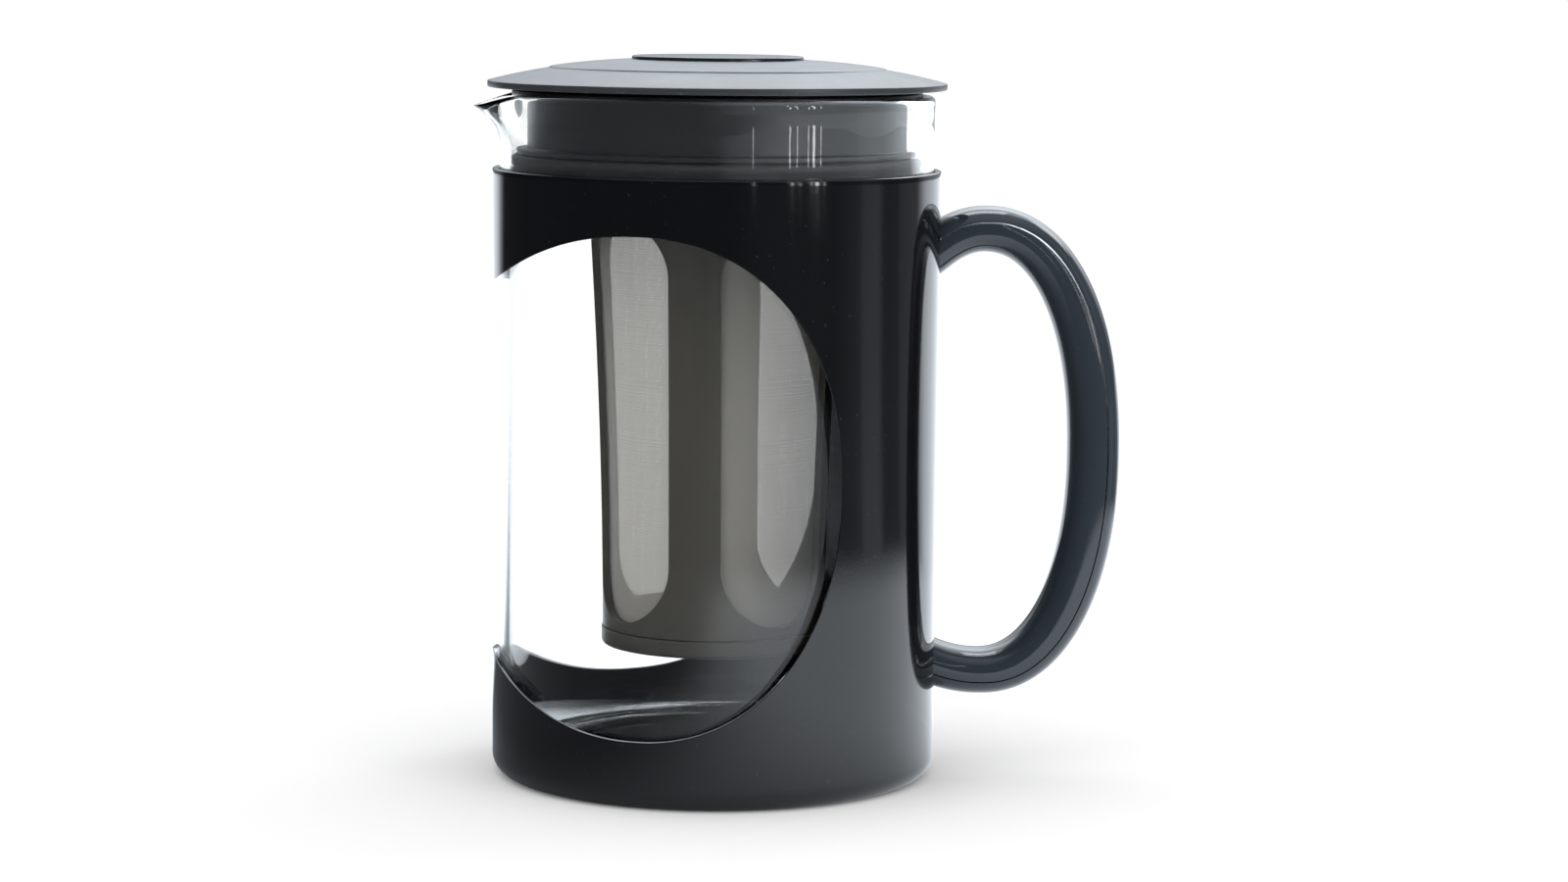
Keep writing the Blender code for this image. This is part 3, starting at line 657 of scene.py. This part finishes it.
def rib_slot(steps):
    """The slot between two ribs as turns from its middle and heights."""
    high_centre, low_centre = SLOT_HIGH - SLOT_END, SLOT_LOW + SLOT_END
    arc_steps = steps // 3
    angles = [math.pi / 2 * step / arc_steps for step in range(arc_steps + 1)]
    points = [(math.sin(angle), high_centre + SLOT_END * math.cos(angle)) for angle in angles[:-1]]
    side = steps - 2 * arc_steps
    points += [(1.0, high_centre + (low_centre - high_centre) * step / side) for step in range(side)]
    points += [(math.cos(angle), low_centre - SLOT_END * math.sin(angle)) for angle in angles]
    half = []
    for share, height in points:
        widest = math.pi / 4 - math.asin(RIB_HALF_WIDTH / basket_radius(height))
        half.append((widest * share, height))
    return closed_loop(half)


cage = bmesh.new()
panel = frame_loop(math.pi / 4, 0.0, 1.0, 12, 36)
slot_steps = len(panel) // 2
frame_points = [(turn, FRAME_LOW + (SHOULDER - FRAME_LOW) * share) for turn, share in panel]
for side in range(4):
    middle = RIB_TURN + math.pi / 4 + side * math.pi / 2
    rows = []
    for wall in (0.0, FRAME_WALL):
        loops = between(rib_slot(slot_steps), frame_points, 5)
        rows.append(skin(cage, [[around(basket_radius(height) - wall, middle + turn, height)
                                 for turn, height in loop] for loop in loops]))
    outer_row, inner_row = rows[0][0], rows[1][0]
    for index in range(len(outer_row)):
        after = (index + 1) % len(outer_row)
        cage.faces.new((outer_row[index], outer_row[after], inner_row[after], inner_row[index]))
cage_turns = [RIB_TURN + math.pi / 48 * step for step in range(96)]
top_radius = basket_radius(SHOULDER)
collar_inner = COLLAR_RADIUS - FRAME_WALL
collar = [(top_radius, SHOULDER), (COLLAR_RADIUS - 0.5 * MM, COLLAR_LOW),
          (COLLAR_RADIUS, COLLAR_LOW + 0.5 * MM), (COLLAR_RADIUS, FRAME_TOP - 0.4 * MM),
          (COLLAR_RADIUS - 0.4 * MM, FRAME_TOP), (collar_inner + 0.3 * MM, FRAME_TOP),
          (collar_inner, FRAME_TOP - 0.3 * MM), (collar_inner, COLLAR_LOW + 0.3 * MM),
          (top_radius - FRAME_WALL, SHOULDER)]
skin(cage, [[around(radius, turn, height) for turn in cage_turns] for radius, height in collar])
foot_radius = basket_radius(FRAME_LOW)
foot_edges = (foot_radius, foot_radius - FRAME_WALL)
skin(cage, [[around(radius, turn, FRAME_LOW) for turn in cage_turns] for radius in foot_edges])
cage_piece = settle("filter_cage", cage)
soften(cage_piece, 0.4 * MM, 3, 50)
basket_plastic = gloss_plastic("basket_smoky_brown", (0.053, 0.049, 0.041), 0.32, 0.22)
basket_plastic.wear(cage_piece)
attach(cage_piece, "basket")
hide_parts("filter_frame")


# ---- Filter mesh ----
# Fine nylon cloth, woven square from flat translucent threads and moulded into the cage.
# Upright threads follow the basket's flare, and a ring thread passes round at every pitch.
MESH_LOW, MESH_HIGH = 41.0 * MM, 157.0 * MM
THREAD_PITCH = 0.25 * MM
JITTER, JITTER_SEED = 0.2, 7
MESH_RADIUS = FOOT_RADIUS - FRAME_WALL - 0.55 * MM


def weave(name, sizes, finish):
    """Weave a flared tube with a node tree, run it once and return it as a plain mesh piece."""
    tree = bpy.data.node_groups.new("weave", "GeometryNodeTree")
    for title, value in sizes.items():
        kind = "NodeSocketInt" if isinstance(value, int) else "NodeSocketFloat"
        tree.interface.new_socket(title, in_out="INPUT", socket_type=kind)
    tree.interface.new_socket("Finish", in_out="INPUT", socket_type="NodeSocketMaterial")
    tree.interface.new_socket("Mesh", in_out="OUTPUT", socket_type="NodeSocketGeometry")
    sheet = Sheet(tree)
    given = tree.nodes.new("NodeGroupInput")
    size = {socket.name: Wire(sheet, socket) for socket in given.outputs if socket.name}

    def radius_at(height):
        share = sheet.node("ShaderNodeMapRange", None, {"Value": height, "From Min": size["Flare Low"],
                                                        "From Max": size["Flare High"]})
        return size["Foot Radius"] + size["Flare"] * share ** size["Flare Power"]

    def spot(axis):
        return sheet.node("ShaderNodeSeparateXYZ", None, {0: sheet.node("GeometryNodeInputPosition")}, axis)

    def divided(first, second):
        return sheet.sum("DIVIDE", first, second)

    index = sheet.node("GeometryNodeInputIndex")
    jitter = sheet.node("FunctionNodeRandomValue", None, {2: -JITTER, 3: JITTER, 8: JITTER_SEED}, output=1)
    length = size["Top"] - size["Bottom"]
    ribbon = sheet.node("GeometryNodeMeshGrid", None, {"Size X": size["Thread Width"], "Size Y": length,
                                                       "Vertices X": 2, "Vertices Y": 15})
    height = spot("Y") + (size["Top"] + size["Bottom"]) * 0.5
    stood = sheet.node("ShaderNodeCombineXYZ", None, {"X": radius_at(height), "Y": spot("X"), "Z": height})
    ribbon = sheet.node("GeometryNodeSetPosition", None, {"Geometry": ribbon, "Position": stood})
    posts = sheet.node("GeometryNodePoints", None, {"Count": size["Threads Round"]})
    turn = (index + jitter) * divided(2 * math.pi, size["Threads Round"])
    turn = sheet.node("ShaderNodeCombineXYZ", None, {"Z": turn})
    uprights = sheet.node("GeometryNodeInstanceOnPoints", None,
                          {"Points": posts, "Instance": ribbon, "Rotation": turn})
    level = size["Bottom"] + (index + jitter) * divided(length, size["Threads High"])
    level = sheet.node("ShaderNodeCombineXYZ", None, {"Z": level})
    levels = sheet.node("GeometryNodePoints", None, {"Count": size["Threads High"], "Position": level})
    hoop = sheet.node("GeometryNodeMeshCylinder", {"fill_type": "NONE"},
                      {"Vertices": 96, "Radius": 1.0, "Depth": size["Thread Width"]})
    width = radius_at(spot("Z")) + size["Thread Lift"]
    width = sheet.node("ShaderNodeCombineXYZ", None, {"X": width, "Y": width, "Z": 1.0})
    hoops = sheet.node("GeometryNodeInstanceOnPoints", None,
                       {"Points": levels, "Instance": hoop, "Scale": width})
    joined = tree.nodes.new("GeometryNodeJoinGeometry")
    for threads in (uprights, hoops):
        tree.links.new(threads.socket, joined.inputs[0])
    cloth = sheet.node("GeometryNodeSetShadeSmooth", None, {0: Wire(sheet, joined.outputs[0])})
    cloth = sheet.node("GeometryNodeRealizeInstances", None, {0: cloth})
    cloth = sheet.node("GeometryNodeSetMaterial", None, {"Geometry": cloth, "Material": size["Finish"]})
    tree.links.new(cloth.socket, tree.nodes.new("NodeGroupOutput").inputs[0])
    piece = bpy.data.objects.new(name, bpy.data.meshes.new(name))
    bpy.context.scene.collection.objects.link(piece)
    modifier = piece.modifiers.new("weave", "NODES")
    modifier.node_group = tree
    sockets = {item.name: item.identifier for item in tree.interface.items_tree if item.in_out == "INPUT"}
    for title, value in sizes.items():
        modifier[sockets[title]] = value
    modifier[sockets["Finish"]] = finish.material
    piece.update_tag()
    bake_modifiers(piece)
    return piece


nylon = Finish("nylon_mesh", Specular_IOR_Level=0.4)
stain = nylon.noise(45.0, 4.0, 0.6)
grain = nylon.noise(1300.0, 2.0)
nylon.link(nylon.blend(stain * 0.5 + grain * 0.5, (0.33, 0.315, 0.285), (0.43, 0.412, 0.375)),
           nylon.shader.inputs["Base Color"])
nylon.link(0.45 + grain * 0.25, nylon.shader.inputs["Roughness"])
nylon.shader.inputs["Alpha"].default_value = 0.51
mesh_piece = weave("filter_weave", {
    "Foot Radius": MESH_RADIUS, "Flare": FLARE, "Bottom": MESH_LOW, "Top": MESH_HIGH,
    "Flare Low": CAP_TOP, "Flare High": SHOULDER, "Flare Power": FLARE_POWER,
    "Threads Round": round(2 * math.pi * MESH_RADIUS / THREAD_PITCH),
    "Threads High": round((MESH_HIGH - MESH_LOW) / THREAD_PITCH),
    "Thread Width": THREAD_PITCH * 0.8, "Thread Lift": THREAD_PITCH * 0.4}, nylon)
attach(mesh_piece, "basket")
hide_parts("filter_mesh")


# ---- End cap ----
# The round cap that closes the basket's foot. A short spigot turns into the frame, and the
# underside is a shallow hollow. It comes off to rinse the grounds out.
CAP_RADIUS, CAP_LOW = 30.4 * MM, 35.3 * MM
SPIGOT, SPIGOT_BORE, SPIGOT_TOP = 26.9 * MM, 25.3 * MM, 45.0 * MM
CAP_FLOOR, CAP_HOLLOW = CAP_LOW + 1.9 * MM, CAP_LOW + 0.8 * MM
profile = [(0.0, CAP_FLOOR, 0.0), (SPIGOT_BORE, CAP_FLOOR, 1.0 * MM),
           (SPIGOT_BORE, SPIGOT_TOP, 0.4 * MM), (SPIGOT, SPIGOT_TOP, 0.4 * MM),
           (SPIGOT, CAP_TOP, 0.2 * MM), (CAP_RADIUS, CAP_TOP, 0.4 * MM),
           (CAP_RADIUS, CAP_LOW, 1.2 * MM), (24.0 * MM, CAP_LOW, 0.6 * MM),
           (23.4 * MM, CAP_HOLLOW, 0.4 * MM), (0.0, CAP_HOLLOW, 0.0)]
end_cap = turned("basket_end_cap", profile, 128)
basket_plastic.wear(end_cap)
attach(end_cap, "end_cap")
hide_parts("filter_end_cap")


# ---- Lid plug ----
# The black spool under the lid. Its foot carries the seal and is open on one side, so that
# turning the lid brings the gap to the lip. The basket's collar turns into the socket below.
PLUG_TOP = 184.3 * MM
NECK, FLANGE, FOOT_EDGE, FOOT_GROOVE = 50.6 * MM, 54.8 * MM, 53.4 * MM, 52.4 * MM
PLUG_BORE, SOCKET = 47.6 * MM, 36.9 * MM
NOTCH_HALF_ANGLE = math.radians(16)
NOTCH_LOW, NOTCH_HIGH = 154.0 * MM, 170.0 * MM
SEAL_RADIUS, SEAL_LOW, SEAL_HIGH = 54.95 * MM, 158.4 * MM, 166.9 * MM
FLANGE_HIGH, FLANGE_LOW = 183.8 * MM, 182.3 * MM
FOOT_HIGH, GROOVE_HIGH, GROOVE_LOW, FOOT_LOW = 168.6 * MM, 167.2 * MM, 158.1 * MM, 156.9 * MM
PLATE_TOP, SOCKET_LOW, SOCKET_OUTER = 160.4 * MM, 154.6 * MM, 39.3 * MM
profile = [(PLUG_BORE, PLUG_TOP, 0.3 * MM), (NECK, PLUG_TOP, 0.2 * MM), (NECK, FLANGE_HIGH, 0.1 * MM),
           (FLANGE, FLANGE_HIGH, 0.5 * MM), (FLANGE, FLANGE_LOW, 0.5 * MM), (NECK, FLANGE_LOW, 0.4 * MM),
           (NECK, FOOT_HIGH, 0.6 * MM), (FOOT_EDGE, FOOT_HIGH, 0.4 * MM),
           (FOOT_EDGE, GROOVE_HIGH, 0.2 * MM), (FOOT_GROOVE, GROOVE_HIGH, 0.1 * MM),
           (FOOT_GROOVE, GROOVE_LOW, 0.1 * MM), (FOOT_EDGE, GROOVE_LOW, 0.2 * MM),
           (FOOT_EDGE, FOOT_LOW, 0.5 * MM), (SOCKET_OUTER, FOOT_LOW, 0.5 * MM),
           (SOCKET_OUTER, SOCKET_LOW, 0.4 * MM), (SOCKET, SOCKET_LOW, 0.4 * MM),
           (SOCKET, PLATE_TOP, 0.4 * MM), (PLUG_BORE, PLATE_TOP, 1.0 * MM)]
plug = turned("lid_spool", profile, 224, ring=True)


def wedge(name, inner, outer, low, high, half_angle, steps=16):
    """A solid arc about the +X side."""
    shape = bmesh.new()
    loops = []
    for step in range(steps + 1):
        angle = half_angle * (2 * step / steps - 1)
        loops.append([(radius * math.cos(angle), radius * math.sin(angle), height)
                      for radius, height in ((inner, low), (outer, low), (outer, high), (inner, high))])
    rows = skin(shape, loops)
    shape.faces.new(rows[0])
    shape.faces.new(rows[-1])
    return settle(name, shape)


notch = wedge("notch_tool", NECK + 0.2 * MM, SEAL_RADIUS + 3 * MM, NOTCH_LOW, NOTCH_HIGH, NOTCH_HALF_ANGLE)
cut = plug.modifiers.new("pour_notch", "BOOLEAN")
cut.solver = "EXACT"
cut.object = notch
bake_modifiers(plug)
bpy.data.objects.remove(notch, do_unlink=True)
plug.data.set_sharp_from_angle(angle=math.radians(50))
plug_plastic = gloss_plastic("plug_semi_gloss_black", (0.010, 0.0105, 0.012), 0.34)
plug_plastic.wear(plug)
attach(plug, "lid")
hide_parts("lid_plug")


# ---- Lid seal ----
# A black silicone ring stretched into the groove of the plug's foot. Two lips wipe the glass,
# and the ring stops short on either side of the pouring gap.
EASE, WIPER, CHAMFER = 0.7 * MM, 2.2 * MM, 0.2 * MM
SEAL_STEPS = 180
WAIST = SEAL_RADIUS - 0.9 * MM
seal_section = [(FOOT_GROOVE + SEAM, SEAL_HIGH), (WAIST, SEAL_HIGH),
                (SEAL_RADIUS - CHAMFER, SEAL_HIGH - 2 * CHAMFER), (SEAL_RADIUS, SEAL_HIGH - EASE),
                (SEAL_RADIUS, SEAL_HIGH - WIPER), (WAIST, SEAL_HIGH - WIPER - EASE),
                (WAIST, SEAL_LOW + WIPER + EASE), (SEAL_RADIUS, SEAL_LOW + WIPER),
                (SEAL_RADIUS, SEAL_LOW + EASE), (SEAL_RADIUS - CHAMFER, SEAL_LOW + 2 * CHAMFER),
                (WAIST, SEAL_LOW), (FOOT_GROOVE + SEAM, SEAL_LOW)]
shape = bmesh.new()
loops = []
for step in range(SEAL_STEPS + 1):
    angle = NOTCH_HALF_ANGLE + (2 * math.pi - 2 * NOTCH_HALF_ANGLE) * step / SEAL_STEPS
    loops.append([(radius * math.cos(angle), radius * math.sin(angle), height)
                  for radius, height in seal_section])
rows = skin(shape, loops)
shape.faces.new(rows[0])
shape.faces.new(rows[-1])
seal = settle("lid_seal_ring", shape, 60)
soften(seal, 0.25 * MM, 2, 60)
silicone = Finish("seal_silicone", Specular_IOR_Level=0.35)
lint = silicone.ramp(silicone.noise(700.0, 2.0), 0.66, 0.78)
cloud = silicone.noise(60.0, 3.0)
silicone.link(silicone.blend(lint * 0.25 + cloud * 0.1, (0.020, 0.021, 0.023), (0.12, 0.12, 0.12)),
              silicone.shader.inputs["Base Color"])
silicone.link(0.52 + cloud * 0.15, silicone.shader.inputs["Roughness"])
silicone.bump(silicone.noise(1500.0, 2.0), 0.25, 0.00005)
silicone.wear(seal)
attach(seal, "lid")
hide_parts("lid_seal")


# ---- Lid top ----
# The shallow satin dome that covers the jug, moulded with a slightly raised middle and a
# thin square rim. Its skirt snaps into the spool, and the disc sits in a well at its centre.
LID_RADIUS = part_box("lid_dome")[1][0]
RIM_LOW, RIM_HIGH = 184.6 * MM, 186.3 * MM
DOME_RISE, DOME_POWER = 6.25 * MM, 2.6
STEP_RADIUS, STEP_RISE = 45.0 * MM, 0.35 * MM
WELL_RADIUS, WELL_FLOOR, WELL_UNDER = 23.2 * MM, 190.4 * MM, 188.4 * MM
SKIRT_OUTER, SKIRT_INNER = 47.3 * MM, 45.3 * MM
SKIRT_LOW, SKIRT_ROOT = 179.3 * MM, 187.0 * MM


def dome(radius):
    """Height of the lid's skin at a radius."""
    return RIM_HIGH + DOME_RISE * (1 - (radius / LID_RADIUS) ** DOME_POWER)


profile = [(0.0, WELL_FLOOR, 0.0), (WELL_RADIUS, WELL_FLOOR, 0.3 * MM)]
profile += [(WELL_RADIUS, dome(WELL_RADIUS) + STEP_RISE * 0.4, 0.35 * MM)]
for radius in range(25, 45, 2):
    raised = STEP_RISE * (0.4 + 0.6 * (radius - 25) / 19)
    profile.append((radius * MM, dome(radius * MM) + raised, 0.0))
profile += [(STEP_RADIUS - 0.3 * MM, dome(STEP_RADIUS) + STEP_RISE, 0.25 * MM)]
profile += [(STEP_RADIUS, dome(STEP_RADIUS), 0.15 * MM)]
profile += [(radius * MM, dome(radius * MM), 0.0) for radius in range(47, 61, 2)]
profile += [(LID_RADIUS, RIM_HIGH, 0.35 * MM), (LID_RADIUS, RIM_LOW, 0.35 * MM),
            (SKIRT_OUTER, RIM_LOW, 0.2 * MM), (SKIRT_OUTER, SKIRT_LOW, 0.4 * MM),
            (SKIRT_INNER, SKIRT_LOW, 0.4 * MM), (SKIRT_INNER, SKIRT_ROOT, 0.6 * MM),
            (25.2 * MM, WELL_UNDER, 0.6 * MM), (0.0, WELL_UNDER, 0.0)]
lid = turned("lid_top_shell", profile, 256, sharp=60)


def satin_plastic(name, colour, roughness, texture):
    """Fine-textured moulded plastic: spark-eroded grain, soft handling marks and light dust."""
    finish = Finish(name, Specular_IOR_Level=0.5, IOR=PLASTIC_IOR)
    handling = finish.ramp(finish.noise(30.0, 5.0, 0.62), 0.42, 0.75)
    grain = finish.noise(texture, 3.0, 0.6)
    dust = finish.ramp(finish.noise(1100.0, 1.0), 0.70, 0.78)
    tone = finish.blend(handling, shaded(colour, 0.88), shaded(colour, 1.15))
    tone = finish.blend(dust * 0.18, tone, (0.34, 0.34, 0.34))
    finish.link(tone, finish.shader.inputs["Base Color"])
    finish.link(roughness - handling * 0.05 + grain * 0.05, finish.shader.inputs["Roughness"])
    finish.bump(grain, 0.35, 0.00006)
    return finish


satin_plastic("lid_satin_grey", (0.032, 0.036, 0.041), 0.35, 2600.0).wear(lid)
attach(lid, "lid")
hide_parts("lid_dome")


# ---- Lid disc ----
# A separate low disc pressed into the lid's well, a little darker and smoother than the lid.
DISC_RADIUS, DISC_EDGE, DISC_TOP = 22.9 * MM, 193.1 * MM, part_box("lid_disc")[1][2]
DISC_RINGS = 8
profile = [(0.0, DISC_TOP, 0.0)]
for step in range(1, DISC_RINGS):
    share = step / DISC_RINGS
    profile.append((DISC_RADIUS * share, DISC_TOP - (DISC_TOP - DISC_EDGE) * share ** 2, 0.0))
profile += [(DISC_RADIUS, DISC_EDGE, 0.5 * MM), (DISC_RADIUS, WELL_FLOOR + SEAM, 0.2 * MM)]
profile += [(0.0, WELL_FLOOR + SEAM, 0.0)]
disc = turned("lid_centre_disc", profile, 160, sharp=60)
satin_plastic("disc_satin_dark", (0.012, 0.018, 0.025), 0.16, 3200.0).wear(disc)
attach(disc, "lid")
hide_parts("lid_disc")
